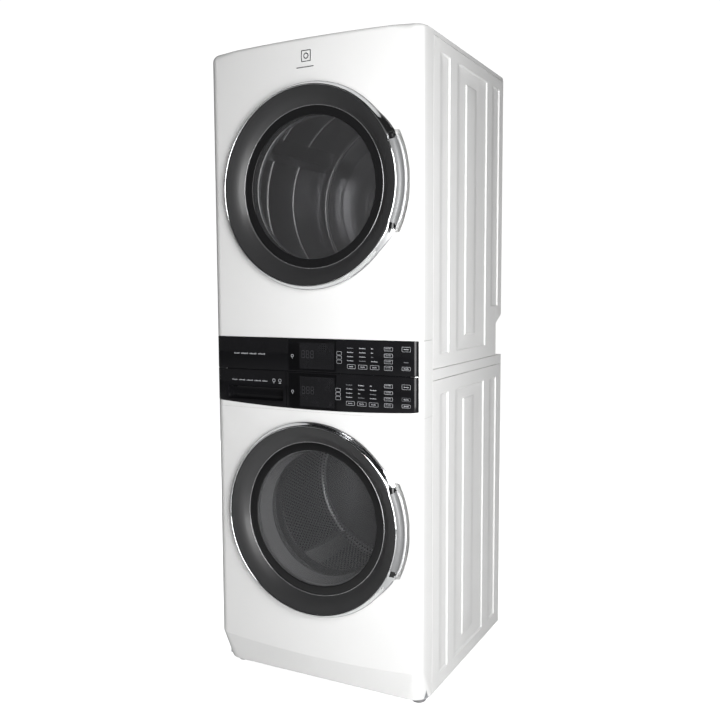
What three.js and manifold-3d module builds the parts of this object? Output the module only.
// Washer and dryer in one tall cabinet: front-loading washer below, dryer above, one console between them.
// Millimetres. +Z is up, the doors face -Y, and the origin is the middle of the footprint on the floor.
import * as THREE from 'three';
import { mergeVertices } from 'three/addons/utils/BufferGeometryUtils.js';
import Module from 'manifold-3d';

const wasm = await Module();
wasm.setup();

// ---------- driving dimensions ----------
const WIDTH = 686;
const HEIGHT = 1889;
const BODY_DEPTH = 688;
const DOOR_PROUD = 22;
const FOOT_HEIGHT = 20;
const HALF = WIDTH / 2;

const SEAM_Y = 85;             // the front shells wrap round the sides to here
const CORNER_R = 28;           // vertical front corners
const SHEET = 1.2;             // side and rear sheet
const SHELL = 2;               // front shells
const GAP = 0.4;               // between neighbouring pieces
const CROWN = 8;               // the top is this much higher at the middle
const TOP_FILLET = 13;

const BAND_Z0 = 930;           // stacking frame between the two cabinets
const BAND_Z1 = 961;
const CONSOLE_Z0 = 832;
const CONSOLE_Z1 = 1045;
const DIVIDER_Z = 947.6;
const GLASS_Z0 = 838;          // lower edge of the console glass, at the middle
const GLASS_RISE = 13;         // and how much it rises to the ends
const GLASS_PROUD = 1.5;
const GLASS_INSET = 3;
const GLASS_WRAP_Y = 24.6;
const DRAWER_X1 = -86;         // right end of the drawer front

const KICK_Z = 97;             // the kick bevel starts here
const KICK_IN = 27;            // and is this far back at the bottom

const NOTCH_Y = 631;           // the dryer's lower rear is stepped in for the duct
const NOTCH_Z0 = 1069;
const NOTCH_Z1 = 1098;
const DRYER_REAR = 685;

const DRYER_Z = 1474;          // door and drum axes
const WASHER_Z = 513;
const RING_R = 290;            // chrome door ring
const TRIM_R = 276.7;          // dark dished ring
const TRIM_INNER_R = 228;
const WINDOW_R = 203;
const WELL_R = 281;            // recess in the front shell that the door closes into
const WELL_DEPTH = 54;
const MOUTH_R = 212;
const GRIP_R = 307;            // finger lip on the free side of the ring
const GRIP_ANGLE = 24;
const POCKET_R = 323;          // finger pocket behind the lip
const POCKET_DEPTH = 18;
const HINGE_X = -288;
const HINGE_Y = -4;
const KNUCKLE_R = 3;

const DRYER_DRUM_R = 323.5;
const DRYER_DRUM_Y0 = 86;
const DRYER_DRUM_Y1 = 642;
const WASHER_DRUM_R = 282;
const WASHER_DRUM_Y0 = 130;
const WASHER_DRUM_Y1 = 530;
const TUB_R = 297;
const TUB_Y0 = 110;
const TUB_Y1 = 562;
const LIFTERS = 3;
const DRUM_WALL = 1;

const SHAFT_X = -120;          // dryer motor shaft, below the drum
const SHAFT_Z = 1064;
const BELT_Y0 = 322;
const BELT_Y1 = 338;
const PULLEY_R = 14;

const FINE = 32;               // sides of the round pieces that show
const COARSE = 20;             // sides of the hidden ones

// ---------- materials ----------
function paint(color, roughness, metalness) {
  return new THREE.MeshStandardMaterial({ color, roughness, metalness });
}

function glass(color, opacity) {
  return new THREE.MeshStandardMaterial({ color, roughness: 0.05, transparent: true, opacity });
}

const WHITE = paint(0xf1f1ef, 0.35, 0.0);
const ZINC = paint(0xb4b7ba, 0.5, 0.9);
const BLACK_GLASS = paint(0x1b1b1e, 0.12, 0.0);
const CHROME = paint(0xdcdde0, 0.08, 1.0);
const DARK_TRIM = paint(0x3a3a3c, 0.3, 0.0);
const WINDOW_GLASS = glass(0x55585c, 0.35);
const STEEL = paint(0xb9bbbe, 0.3, 1.0);
const GREY_PLASTIC = paint(0x8f9295, 0.6, 0.0);
const WHITE_PLASTIC = paint(0xe9e9e6, 0.4, 0.0);
const RUBBER = paint(0x6e7073, 0.8, 0.0);
const IRON = paint(0x4c4d50, 0.7, 0.6);
const BOARD_GREEN = paint(0x1f5a3a, 0.6, 0.0);

// ---------- solids ----------
function solidOf(geometry) {
  geometry.deleteAttribute('normal');
  geometry.deleteAttribute('uv');
  const merged = mergeVertices(geometry, 1e-4);
  const triVerts = outward(merged);
  const vertProperties = new Float32Array(merged.attributes.position.array);
  return new wasm.Manifold(new wasm.Mesh({ numProp: 3, vertProperties, triVerts }));
}

// Triangle corners of a closed mesh, turned so that its faces point out.
function outward(geometry) {
  const corners = Uint32Array.from(geometry.index.array);
  const points = [new THREE.Vector3(), new THREE.Vector3(), new THREE.Vector3()];
  let volume = 0;
  for (let i = 0; i < corners.length; i += 3) {
    points.forEach((point, k) => point.fromBufferAttribute(geometry.attributes.position, corners[i + k]));
    volume += points[0].dot(points[1].clone().cross(points[2]));
  }
  if (volume < 0) {
    for (let i = 0; i < corners.length; i += 3) {
      const first = corners[i];
      corners[i] = corners[i + 1];
      corners[i + 1] = first;
    }
  }
  return corners;
}

function geometryOf(solid) {
  const mesh = solid.getMesh();
  const geometry = new THREE.BufferGeometry();
  geometry.setAttribute('position', new THREE.BufferAttribute(new Float32Array(mesh.vertProperties), 3));
  geometry.setIndex(new THREE.BufferAttribute(new Uint32Array(mesh.triVerts), 1));
  geometry.computeVertexNormals();
  return geometry;
}

function block([x0, x1], [y0, y1], [z0, z1]) {
  const geometry = new THREE.BoxGeometry(x1 - x0, y1 - y0, z1 - z0);
  geometry.translate((x0 + x1) / 2, (y0 + y1) / 2, (z0 + z1) / 2);
  return solidOf(geometry);
}

function extruded(points, length) {
  const shape = new THREE.Shape(points.map(([a, b]) => new THREE.Vector2(a, b)));
  return new THREE.ExtrudeGeometry(shape, { depth: length, bevelEnabled: false });
}

// Outline in X and Y, drawn up from z0 to z1.
function prismZ(points, z0, z1) {
  return solidOf(extruded(points, z1 - z0).translate(0, 0, z0));
}

// Outline in X and Z, drawn from y0 to y1.
function prismY(points, y0, y1) {
  return solidOf(extruded(points, y1 - y0).rotateX(Math.PI / 2).translate(0, y1, 0));
}

// Outline in Y and Z, drawn from x0 to x1.
function prismX(points, x0, x1) {
  const turn = new THREE.Matrix4().makeBasis(
    new THREE.Vector3(0, 1, 0), new THREE.Vector3(0, 0, 1), new THREE.Vector3(1, 0, 0));
  return solidOf(extruded(points, x1 - x0).applyMatrix4(turn).translate(x0, 0, 0));
}

// Profile of [radius, y] points turned about the Y axis, then moved to x and z.
function turned(profile, x, z, sides = FINE) {
  const points = profile.map(([r, y]) => new THREE.Vector2(r, y));
  if (profile[0][0] !== 0) points.push(points[0].clone());
  return solidOf(new THREE.LatheGeometry(points, sides).translate(x, 0, z));
}

function disc(radius, y0, y1, x, z, sides = FINE) {
  return turned([[0, y0], [radius, y0], [radius, y1], [0, y1]], x, z, sides);
}

function rodBetween(start, end, radius, sides = 12) {
  const from = new THREE.Vector3(...start);
  const along = new THREE.Vector3(...end).sub(from);
  const geometry = new THREE.CylinderGeometry(radius, radius, along.length(), sides);
  const turn = new THREE.Quaternion();
  turn.setFromUnitVectors(new THREE.Vector3(0, 1, 0), along.clone().normalize());
  geometry.applyQuaternion(turn);
  geometry.translate(...from.addScaledVector(along, 0.5).toArray());
  return solidOf(geometry);
}

function arc(cx, cy, radius, from, to, steps) {
  const points = [];
  for (let i = 0; i <= steps; i += 1) {
    const angle = THREE.MathUtils.degToRad(from + (to - from) * i / steps);
    points.push([cx + radius * Math.cos(angle), cy + radius * Math.sin(angle)]);
  }
  return points;
}

// Part of a flat ring about a door axis at height z; angles in degrees from +X towards +Z.
function sector(r0, r1, from, to, y0, y1, z, steps = 12) {
  const outline = arc(0, z, r1, from, to, steps).concat(arc(0, z, r0, to, from, steps));
  return prismY(outline, y0, y1);
}

// ---------- assembly ----------
const unit = new THREE.Group();
unit.position.y = DOOR_PROUD - (BODY_DEPTH + DOOR_PROUD) / 2;
const group = new THREE.Group();
group.add(unit);

function add(name, solid, material) {
  const mesh = new THREE.Mesh(geometryOf(solid), material);
  mesh.name = name;
  unit.add(mesh);
}

// ---------- cabinets ----------
// U outline of the front shells: straight sides, round front corners, open to the rear.
function frontOutline(inset, depth) {
  const r = CORNER_R - inset;
  const middle = HALF - CORNER_R;
  const left = arc(-middle, CORNER_R, r, 180, 270, 5);
  const right = arc(middle, CORNER_R, r, 270, 360, 5);
  return [...left, ...right, [HALF - inset, depth], [inset - HALF, depth]];
}

function frontBlock(inset, depth, z0, z1) {
  return prismZ(frontOutline(inset, depth), z0, z1);
}

// Everything below the crowned top, whose middle is at `top`.
function underCrown(top, y0, y1) {
  const radius = (HALF * HALF + CROWN * CROWN) / (2 * CROWN);
  const half = THREE.MathUtils.radToDeg(Math.asin(HALF / radius));
  const roof = arc(0, top - radius, radius, 90 - half, 90 + half, 10);
  return prismY([...roof, [-HALF, 900], [HALF, 900]], y0, y1);
}

// Takes the front top edge off with a quarter round.
function topFillet(inset) {
  const top = HEIGHT - inset;
  const round = arc(inset + TOP_FILLET, top - TOP_FILLET, TOP_FILLET, 180, 90, 4);
  return prismX([...round, [SEAM_Y + 20, top], [SEAM_Y + 20, 900], [inset, 900]], -HALF - 5, HALF + 5);
}

function doorWell(z) {
  const wall = WELL_R + SHELL;
  const floor = WELL_DEPTH + SHELL;
  return turned([[WELL_R, 1], [wall, 1], [wall, floor], [MOUTH_R, floor], [MOUTH_R, WELL_DEPTH],
    [WELL_R, WELL_DEPTH]], 0, z);
}

// Front shell with the door's well, the finger pocket, the hinge slot and the latch slot.
function withDoorway(shell, z) {
  const pocketWall = sector(WELL_R - 4, POCKET_R + SHELL, -GRIP_ANGLE - 5, GRIP_ANGLE + 5,
    0.5, POCKET_DEPTH + SHELL, z);
  const pocket = sector(WELL_R - 6, POCKET_R, -GRIP_ANGLE - 3.5, GRIP_ANGLE + 3.5, -2, POCKET_DEPTH, z);
  const hingeSlot = block([HINGE_X - 5, -WELL_R - SHELL - 0.3], [-1, SHELL + 1], [z - 43, z + 43]);
  const latchSlot = block([238, 262], [WELL_DEPTH - 1, WELL_DEPTH + 5], [z - 16, z + 16]);
  return shell.subtract(disc(WELL_R + 0.5, -5, 6, 0, z))
    .add(pocketWall.subtract(disc(WELL_R + 0.5, -5, 60, 0, z)))
    .add(doorWell(z))
    .subtract(pocket)
    .subtract(hingeSlot)
    .subtract(latchSlot);
}

function dryerFront() {
  const z0 = CONSOLE_Z1 + GAP;
  const outer = frontBlock(0, SEAM_Y, z0, HEIGHT + 5)
    .intersect(underCrown(HEIGHT, -5, SEAM_Y + 5)).intersect(topFillet(0));
  const inner = frontBlock(SHELL, SEAM_Y + 10, z0 - 5, HEIGHT)
    .intersect(underCrown(HEIGHT - SHELL, -5, SEAM_Y + 15)).intersect(topFillet(SHELL));
  return withDoorway(outer.subtract(inner), DRYER_Z);
}

function kickWedge(inset) {
  const slope = KICK_IN / (KICK_Z - FOOT_HEIGHT);
  const yAt = (z) => inset + slope * (KICK_Z - z);
  return prismX([[-10, KICK_Z + (10 + inset) / slope], [-10, 0], [yAt(0), 0]], -HALF - 5, HALF + 5);
}

function washerFront() {
  const z1 = CONSOLE_Z0 - GAP;
  const outer = frontBlock(0, SEAM_Y, FOOT_HEIGHT, z1).subtract(kickWedge(0));
  const inner = frontBlock(SHELL, SEAM_Y + 10, FOOT_HEIGHT - 5, z1 + 5).subtract(kickWedge(SHELL));
  return withDoorway(outer.subtract(inner), WASHER_Z);
}

function washerCabinet() {
  const y0 = SEAM_Y + GAP;
  const z1 = BAND_Z0 - GAP;
  const wall = HALF - SHEET;
  return block([-HALF, HALF], [y0, BODY_DEPTH], [FOOT_HEIGHT, z1])
    .subtract(block([-wall, wall], [y0 - 5, BODY_DEPTH - SHEET], [FOOT_HEIGHT - 5, z1 + 5]))
    .subtract(block([-230, 230], [BODY_DEPTH - 10, BODY_DEPTH + 5], [180, 800]));
}

function washerRearCover() {
  const rear = BODY_DEPTH - SHEET - GAP;
  const rib = (z) => block([-190, 190], [rear - SHEET - 5, rear - SHEET + 0.5], [z - 8, z + 8]);
  return block([-250, 250], [rear - SHEET, rear], [160, 820]).add(rib(330)).add(rib(650));
}

// Side view of the dryer cabinet, inset from its outside.
function dryerProfile(inset, front, z0, z1) {
  return [[front, z0], [NOTCH_Y - inset, z0], [NOTCH_Y - inset, NOTCH_Z0 + inset * 0.3],
    [DRYER_REAR - inset, NOTCH_Z1 + inset * 0.3], [DRYER_REAR - inset, z1], [front, z1]];
}

function dryerCabinet() {
  const z0 = BAND_Z1 + GAP;
  const z1 = HEIGHT - 22;
  const front = SEAM_Y + GAP;
  const wall = HALF - SHEET;
  return prismX(dryerProfile(0, front, z0, z1), -HALF, HALF)
    .subtract(prismX(dryerProfile(SHEET, front - 5, z0 - 5, z1 + 5), -wall, wall))
    .subtract(disc(52.5, NOTCH_Y - 10, NOTCH_Y + 10, 110, 1015, COARSE));
}

function topPanel() {
  const y0 = SEAM_Y + GAP;
  const rear = DRYER_REAR;
  const skirt = HEIGHT - 22 + GAP;
  return underCrown(HEIGHT, y0, rear)
    .subtract(underCrown(HEIGHT - SHELL, y0 - 5, rear - SHELL).intersect(
      block([SHELL - HALF, HALF - SHELL], [0, rear], [800, HEIGHT])))
    .subtract(block([-HALF - 5, HALF + 5], [0, rear + 5], [800, skirt]));
}

function stackingFrame() {
  const y0 = SEAM_Y + GAP;
  const rail = 5;
  const sides = block([-HALF, HALF], [y0, BODY_DEPTH], [BAND_Z0, BAND_Z1])
    .subtract(block([rail - HALF, HALF - rail], [y0 - 5, BODY_DEPTH - rail], [BAND_Z0 - 5, BAND_Z1 + 5]));
  const shelf = block([5 - HALF, HALF - 5], [325, BODY_DEPTH - 5], [BAND_Z1 - 3, BAND_Z1]);
  return sides.add(shelf);
}

function baseFrame() {
  const edge = HALF - 2.5;
  const rear = BODY_DEPTH - SHEET - GAP;
  let frame = block([-edge, edge], [50, rear], [22, 58])
    .subtract(block([50 - edge, edge - 50], [105, rear - 55], [10, 70]))
    .subtract(block([5 - edge, edge - 5], [55, rear - 5], [26, 70]));
  for (const [, x, y] of FEET) {
    const hole = new THREE.CylinderGeometry(6.5, 6.5, 60, 12).rotateX(Math.PI / 2).translate(x, y, 30);
    frame = frame.subtract(solidOf(hole));
  }
  return frame;
}

const FEET = [
  ['front_left', -305, 78], ['front_right', 305, 78], ['rear_left', -305, 655], ['rear_right', 305, 655],
];

function foot(x, y) {
  const profile = [[0, 0], [20, 0], [22, 3], [22, 9], [16, 14], [6, 14], [6, 50], [0, 50]];
  const points = profile.map(([r, z]) => new THREE.Vector2(r, z));
  return solidOf(new THREE.LatheGeometry(points, 20).rotateX(Math.PI / 2).translate(x, y, 0));
}

add('base_frame', baseFrame(), ZINC);
add('washer_cabinet', washerCabinet(), WHITE);
add('washer_rear_cover', washerRearCover(), ZINC);
add('stacking_frame', stackingFrame(), WHITE);
add('dryer_cabinet', dryerCabinet(), WHITE);
add('top_panel', topPanel(), WHITE);
add('dryer_front_panel', dryerFront(), WHITE);
add('washer_front_panel', washerFront(), WHITE);
for (const [name, x, y] of FEET) {
  add(`foot_${name}`, foot(x, y), RUBBER);
}

// ---------- console and detergent drawer ----------
// Face of the console above its curved lower edge, drawn from y0 to y1.
function consoleFace(grow, y0, y1) {
  const half = HALF + 2;
  const radius = (half * half + GLASS_RISE * GLASS_RISE) / (2 * GLASS_RISE);
  const spread = THREE.MathUtils.radToDeg(Math.asin(half / radius));
  const lower = arc(0, GLASS_Z0 - grow + radius, radius, 270 - spread, 270 + spread, 10);
  const top = CONSOLE_Z1 + grow;
  return prismY([...lower, [half, top], [-half, top]], y0, y1);
}

function consoleGlass(x0, x1, z0, z1) {
  return consoleFace(0, -10, GLASS_WRAP_Y)
    .intersect(prismZ(frontOutline(-GLASS_PROUD, SEAM_Y), 800, 1100))
    .subtract(prismZ(frontOutline(GLASS_INSET, SEAM_Y), 700, 1200))
    .intersect(block([Math.max(x0, GAP - HALF), Math.min(x1, HALF - GAP)], [-20, 60], [z0, z1]));
}

const DRAWER_BAY = [[-331, -91], [853, 944]];

function consoleFrame() {
  const wall = 6;
  const face = GLASS_INSET + 0.3;
  const seat = consoleFace(GAP, -12, GLASS_WRAP_Y + GAP)
    .subtract(prismZ(frontOutline(face, SEAM_Y), 700, 1200));
  return frontBlock(0, SEAM_Y, CONSOLE_Z0, CONSOLE_Z1)
    .subtract(frontBlock(wall, SEAM_Y + 10, CONSOLE_Z0 - 5, CONSOLE_Z1 + 5))
    .subtract(seat)
    .subtract(block(DRAWER_BAY[0], [-5, 20], DRAWER_BAY[1]));
}

const TRAY_X = [-327, -95];
const TRAY_Y = [24, 284];
const TRAY_Z = [857, 938];
const TRAY_WALL = 2.5;
const PULL_X = [-295, -97];
const PULL_Z = [856.5, 897];
const PULL_DEPTH = 22;

function detergentDrawer() {
  const front = consoleGlass(-HALF, DRAWER_X1 - GAP, 800, DIVIDER_Z - 1);
  const pull = block([PULL_X[0] - TRAY_WALL, PULL_X[1] + TRAY_WALL], [1, PULL_DEPTH + TRAY_WALL],
    [PULL_Z[0] - TRAY_WALL, PULL_Z[1] + TRAY_WALL]);
  const neck = block([-320, -100], [1, 26], [900, TRAY_Z[1]]);
  const tray = block(TRAY_X, TRAY_Y, TRAY_Z);
  let drawer = front.add(pull).add(neck).add(tray)
    .subtract(block(PULL_X, [-10, PULL_DEPTH], PULL_Z));
  const cells = 3;
  const pitch = (TRAY_X[1] - TRAY_X[0] - TRAY_WALL) / cells;
  for (let i = 0; i < cells; i += 1) {
    const x0 = TRAY_X[0] + TRAY_WALL + i * pitch;
    drawer = drawer.subtract(block([x0, x0 + pitch - TRAY_WALL],
      [TRAY_Y[0] + 6, TRAY_Y[1] - TRAY_WALL], [TRAY_Z[0] + TRAY_WALL, TRAY_Z[1] + 10]));
  }
  return drawer;
}

function drawerHousing() {
  return block([-330, -92], [26, 312], [854, 943])
    .subtract(block([-328, -94], [20, 310], [856, 941]));
}

function badge() {
  return block([-26, 13], [-1.4, -GAP], [1817, 1855]);
}

add('console_frame', consoleFrame(), WHITE);
add('dryer_console_glass', consoleGlass(-HALF, HALF, DIVIDER_Z + 1, CONSOLE_Z1), BLACK_GLASS);
add('washer_console_glass', consoleGlass(DRAWER_X1 + GAP, HALF, 800, DIVIDER_Z - 1), BLACK_GLASS);
add('detergent_drawer', detergentDrawer(), BLACK_GLASS);
add('drawer_housing', drawerHousing(), WHITE_PLASTIC);
add('control_board', block([-60, 320], [14, 18], [868, 1030]), BOARD_GREEN);
add('badge', badge(), CHROME);

// ---------- doors ----------
function hingeNotch(z) {
  return block([-RING_R - 10, -262], [HINGE_Y - 4.5, 5], [z - 50, z + 50]);
}

function chromeRing(z) {
  const ring = turned([[RING_R, -1.2], [RING_R - 1.5, -6], [280, -21], [278, -DOOR_PROUD],
    [TRIM_R + 0.3, -20.5], [TRIM_R + 0.3, -1.2]], 0, z);
  const lip = sector(RING_R - 10, GRIP_R, -GRIP_ANGLE, GRIP_ANGLE, -11, -3, z);
  return ring.add(lip).subtract(hingeNotch(z));
}

function trimRing(z) {
  const ring = turned([[TRIM_R, -20.5], [TRIM_R, -1.2], [272.5, -1.2], [272.5, -14], [TRIM_INNER_R + 1, 13],
    [WINDOW_R, 13.5], [WINDOW_R, 10.5], [TRIM_INNER_R, 9.5]], 0, z);
  return ring.subtract(hingeNotch(z));
}

function innerFrame(z) {
  const ring = turned([[268, 2], [268, 46], [206, 46], [206, 18.4], [210, 18.4], [210, 42], [264, 42],
    [264, 2]], 0, z);
  const hook = block([246, 254], [44, 64], [z - 10, z + 10]);
  return ring.add(hook);
}

function hingeLeaf(z) {
  const knuckle = new THREE.CylinderGeometry(KNUCKLE_R, KNUCKLE_R, 30, 12).rotateX(Math.PI / 2)
    .translate(HINGE_X, HINGE_Y, z);
  return solidOf(knuckle)
    .add(block([HINGE_X, -261], [HINGE_Y + 0.5, HINGE_Y + 3.2], [z - 15, z + 15]))
    .add(block([-271, -261], [HINGE_Y + 0.5, 1.6], [z - 40, z + 40]));
}

function hingeBracket(z) {
  let bracket = block([HINGE_X - 24, -WELL_R - SHELL - 1], [SHELL + GAP, SHELL + 3.4], [z - 55, z + 55]);
  for (const side of [-1, 1]) {
    const middle = z + side * 28;
    const knuckle = new THREE.CylinderGeometry(KNUCKLE_R, KNUCKLE_R, 24, 12).rotateX(Math.PI / 2)
      .translate(HINGE_X, HINGE_Y, middle);
    bracket = bracket.add(solidOf(knuckle))
      .add(block([HINGE_X - 1.5, HINGE_X + 1.5], [HINGE_Y, SHELL + 2], [middle - 12, middle + 12]));
  }
  return bracket;
}

function glassBowl(z) {
  return turned([[0, 132], [120, 128], [180, 110], [198, 60], [204.5, 24], [200.5, 24], [194, 59], [176, 107],
    [118, 124], [0, 128]], 0, z);
}

for (const [name, z] of [['dryer', DRYER_Z], ['washer', WASHER_Z]]) {
  add(`${name}_door_ring`, chromeRing(z), CHROME);
  add(`${name}_door_trim`, trimRing(z), DARK_TRIM);
  add(`${name}_door_window`, disc(240, 14, 18, 0, z), WINDOW_GLASS);
  add(`${name}_door_frame`, innerFrame(z), GREY_PLASTIC);
  add(`${name}_door_hinge_leaf`, hingeLeaf(z), ZINC);
  add(`${name}_hinge_bracket`, hingeBracket(z), ZINC);
}
add('washer_door_bowl', glassBowl(WASHER_Z), WINDOW_GLASS);

// ---------- drums ----------
// Cup about the Y axis: open mouth in front, closed rear with a shaft stub.
function drum(radius, mouth, y0, y1, shaftR, shaftEnd, z) {
  const wall = DRUM_WALL;
  return turned([[0, y1 - wall], [radius - wall, y1 - wall], [radius - wall, y0 + wall], [mouth, y0 + wall],
    [mouth, y0], [radius, y0], [radius, y1], [shaftR, y1], [shaftR, shaftEnd], [0, shaftEnd]], 0, z, COARSE + 8);
}

// Hollow vane, open towards the drum's wall.
function lifter(drumR, width, height, y0, y1, angle, z) {
  const wall = 2;
  const base = Math.sqrt(drumR * drumR - width * width / 4) - 5;
  const cos = Math.cos(THREE.MathUtils.degToRad(angle));
  const sin = Math.sin(THREE.MathUtils.degToRad(angle));
  const vane = (foot, top, inset, from, to) => {
    const half = width / 2 - inset * 1.3;
    const narrow = width / 5 - inset;
    const outline = [[foot, -half], [foot, half], [top, narrow], [top, -narrow]];
    return prismY(outline.map(([a, b]) => [a * cos - b * sin, z + a * sin + b * cos]), from, to);
  };
  return vane(base, base - height, 0, y0, y1)
    .subtract(vane(base + 3, base - height + wall, wall, y0 + wall, y1 - wall));
}

add('dryer_drum', drum(DRYER_DRUM_R, 236, DRYER_DRUM_Y0, DRYER_DRUM_Y1, 12, 668, DRYER_Z), STEEL);
add('washer_drum', drum(WASHER_DRUM_R, 190, WASHER_DRUM_Y0, WASHER_DRUM_Y1, 15, 603, WASHER_Z), STEEL);
for (let i = 0; i < LIFTERS; i += 1) {
  const turn = 360 * i / LIFTERS;
  add(`dryer_lifter_${i + 1}`,
    lifter(DRYER_DRUM_R, 70, 60, 110, 620, turn - 90, DRYER_Z), STEEL);
  add(`washer_lifter_${i + 1}`,
    lifter(WASHER_DRUM_R, 60, 62, 150, 510, turn - 10, WASHER_Z), GREY_PLASTIC);
}

// ---------- washer insides ----------
function tub() {
  const wall = 4;
  return turned([[16, TUB_Y1 - 14], [16, TUB_Y1], [TUB_R, TUB_Y1], [TUB_R, TUB_Y0], [205, TUB_Y0],
    [205, TUB_Y0 + wall], [TUB_R - wall, TUB_Y0 + wall], [TUB_R - wall, TUB_Y1 - wall], [40, TUB_Y1 - wall],
    [40, TUB_Y1 - 14]], 0, WASHER_Z, COARSE + 8);
}

function bellows() {
  const y0 = WELL_DEPTH + SHELL + GAP;
  return turned([[209, y0], [240, y0], [240, y0 + 4], [232, y0 + 8], [244, y0 + 24], [222, y0 + 40],
    [222, TUB_Y0 - GAP], [207, TUB_Y0 - GAP], [207, y0 + 40], [230, y0 + 24], [218, y0 + 8]], 0, WASHER_Z);
}

function spring(side) {
  return rodBetween([side * 235, 330, 712], [side * 235, 330, 846], 11);
}

function damper(side) {
  return rodBetween([side * 205, 330, 285], [side * 250, 330, 66], 13);
}

add('washer_tub', tub(), GREY_PLASTIC);
add('door_bellows', bellows(), RUBBER);
add('tub_counterweight', sector(250, 292, 25, 155, 62, TUB_Y0 - GAP, WASHER_Z, 14), IRON);
add('motor_stator', turned([[92, 566], [124, 566], [124, 598], [92, 598]], 0, WASHER_Z, COARSE), IRON);
add('motor_rotor', turned([[0, 604], [128, 604], [128, 570], [134, 570], [134, 610], [0, 610]], 0, WASHER_Z,
  COARSE), ZINC);
for (const [name, side] of [['left', -1], ['right', 1]]) {
  add(`tub_spring_${name}`, spring(side), ZINC);
  add(`tub_damper_${name}`, damper(side), GREY_PLASTIC);
}
add('drain_pump', disc(36, 130, 230, 180, 105, 20).add(disc(20, 226, 262, 180, 105, 16)), GREY_PLASTIC);
add('inlet_valve', block([150, 240], [650, 684], [866, 906]), WHITE_PLASTIC);

// ---------- dryer insides ----------
const FILTER_X = 104;
const FILTER_Y = [63.5, 75];
const FILTER_Z = [1122, 1264];

function dryerFrontBulkhead() {
  const y0 = WELL_DEPTH + SHELL + GAP;
  const y1 = y0 + 2.5;
  const slot = [FILTER_X + 4, FILTER_Y[1] + 2];
  const pocket = block([-slot[0] - 3, slot[0] + 3], [y0 + 1, slot[1] + 2], [FILTER_Z[0] - 6, 1258])
    .subtract(block([-slot[0], slot[0]], [y1, slot[1]], [FILTER_Z[0] - 3, 1300]));
  return block([-335, 335], [y0, y1], [1056, 1866])
    .subtract(disc(206, y0 - 5, y1 + 5, 0, DRYER_Z))
    .subtract(block([234, 266], [y0 - 5, y1 + 5], [DRYER_Z - 20, DRYER_Z + 20]))
    .add(pocket);
}

function lintFilter() {
  const screen = block([-FILTER_X, FILTER_X], FILTER_Y, FILTER_Z);
  const hollow = block([8 - FILTER_X, FILTER_X - 8], [FILTER_Y[0] + 3, FILTER_Y[1] + 5],
    [FILTER_Z[0] + 8, FILTER_Z[1] - 18]);
  return screen.subtract(hollow);
}

function dryerRearBulkhead() {
  return block([-335, 335], [650, 653], [1104, 1862])
    .add(disc(34, 646, 664, 0, DRYER_Z, COARSE))
    .subtract(disc(12.5, 640, 670, 0, DRYER_Z, COARSE));
}

// Belt round the drum and the motor pulley: the outline of both circles, joined by their tangents.
function beltOutline(clear) {
  const far = Math.hypot(SHAFT_X, DRYER_Z - SHAFT_Z);
  const big = DRYER_DRUM_R + clear;
  const small = PULLEY_R + clear;
  const lean = THREE.MathUtils.radToDeg(Math.acos((big - small) / far));
  const towards = THREE.MathUtils.radToDeg(Math.atan2(SHAFT_Z - DRYER_Z, SHAFT_X));
  return arc(0, DRYER_Z, big, towards + lean, towards + 360 - lean, 40)
    .concat(arc(SHAFT_X, SHAFT_Z, small, towards - lean, towards + lean, 8));
}

function driveBelt() {
  const inner = prismY(beltOutline(1.5), BELT_Y0 - 5, BELT_Y1 + 5);
  return prismY(beltOutline(3.5), BELT_Y0, BELT_Y1).subtract(inner);
}

function blowerWheel() {
  const shaft = 8;
  return turned([[0, 318], [PULLEY_R, 318], [PULLEY_R, 342], [shaft, 342], [shaft, 585], [68, 585], [68, 520],
    [74, 520], [74, 592], [0, 592]], SHAFT_X, SHAFT_Z, COARSE);
}

function dryerMotor() {
  const body = turned([[8.6, 352], [52, 352], [52, 470], [8.6, 470]], SHAFT_X, SHAFT_Z, COARSE);
  return body.add(block([SHAFT_X - 45, SHAFT_X + 45], [370, 450], [BAND_Z1 + GAP, SHAFT_Z - 45]));
}

const BLOWER_Y = [498, 608];
const DUCT_Z = 1015;
const DUCT_R = 50;

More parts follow.
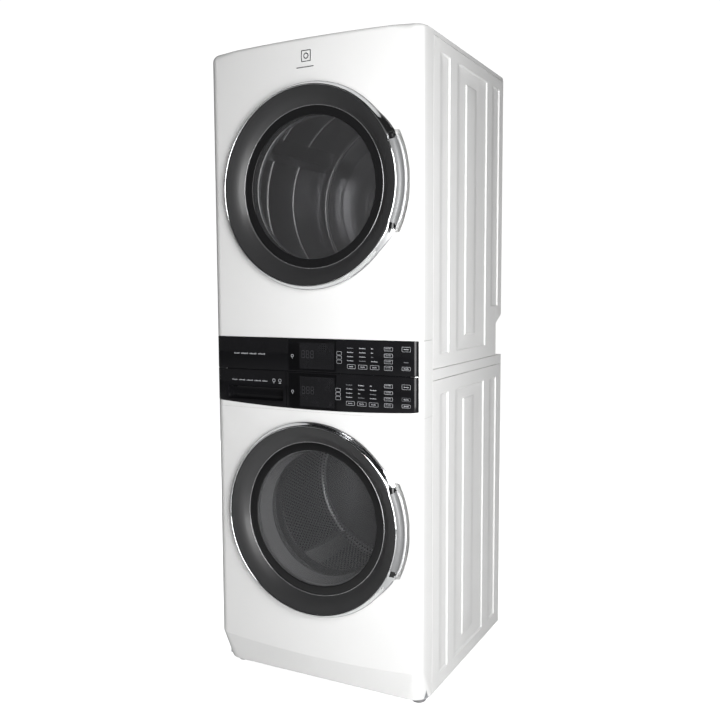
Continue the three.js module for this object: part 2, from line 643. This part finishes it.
function blowerHousing() {
  const wall = 3;
  const outlet = [SHAFT_X, -12];
  const outletZ = [DUCT_Z - 53, DUCT_Z + 53];
  const shell = disc(92, BLOWER_Y[0], BLOWER_Y[1], SHAFT_X, SHAFT_Z, COARSE)
    .add(block(outlet, BLOWER_Y, outletZ));
  const inside = disc(92 - wall, BLOWER_Y[0] + wall, BLOWER_Y[1] - wall, SHAFT_X, SHAFT_Z, COARSE)
    .add(block([outlet[0], outlet[1] + 10], [BLOWER_Y[0] + wall, BLOWER_Y[1] - wall],
      [outletZ[0] + wall, outletZ[1] - wall]));
  const eye = disc(45, BLOWER_Y[0] - 5, BLOWER_Y[0] + 10, SHAFT_X, SHAFT_Z, COARSE);
  return shell.subtract(inside).subtract(eye);
}

function exhaustDuct() {
  const route = new THREE.CurvePath();
  const turnAt = new THREE.Vector3(110, 553, DUCT_Z);
  const bend = 52;
  const start = new THREE.Vector3(-11.5, turnAt.y, DUCT_Z);
  const before = new THREE.Vector3(turnAt.x - bend, turnAt.y, DUCT_Z);
  const after = new THREE.Vector3(turnAt.x, turnAt.y + bend, DUCT_Z);
  route.add(new THREE.LineCurve3(start, before));
  route.add(new THREE.QuadraticBezierCurve3(before, turnAt, after));
  route.add(new THREE.LineCurve3(after, new THREE.Vector3(turnAt.x, 681, DUCT_Z)));
  const sides = 16;
  const ring = (radius) => arc(0, 0, radius, 0, 360 * (1 - 1 / sides), sides - 1)
    .map(([a, b]) => new THREE.Vector2(a, b));
  const wall = new THREE.Shape(ring(DUCT_R));
  wall.holes.push(new THREE.Path(ring(DUCT_R - 1.5)));
  return solidOf(new THREE.ExtrudeGeometry(wall, { steps: 9, extrudePath: route }));
}

function heaterHousing() {
  const wall = 2;
  return block([70, 290], [656, 681], [1180, 1520])
    .subtract(block([70 + wall, 290 - wall], [650, 681 - wall], [1180 + wall, 1520 - wall]));
}

add('dryer_front_bulkhead', dryerFrontBulkhead(), ZINC);
add('dryer_rear_bulkhead', dryerRearBulkhead(), ZINC);
add('lint_filter', lintFilter(), GREY_PLASTIC);
add('drive_belt', driveBelt(), RUBBER);
add('dryer_motor', dryerMotor(), IRON);
add('blower_wheel', blowerWheel(), GREY_PLASTIC);
add('blower_housing', blowerHousing(), GREY_PLASTIC);
add('exhaust_duct', exhaustDuct(), ZINC);
add('heater_housing', heaterHousing(), ZINC);

export default group;
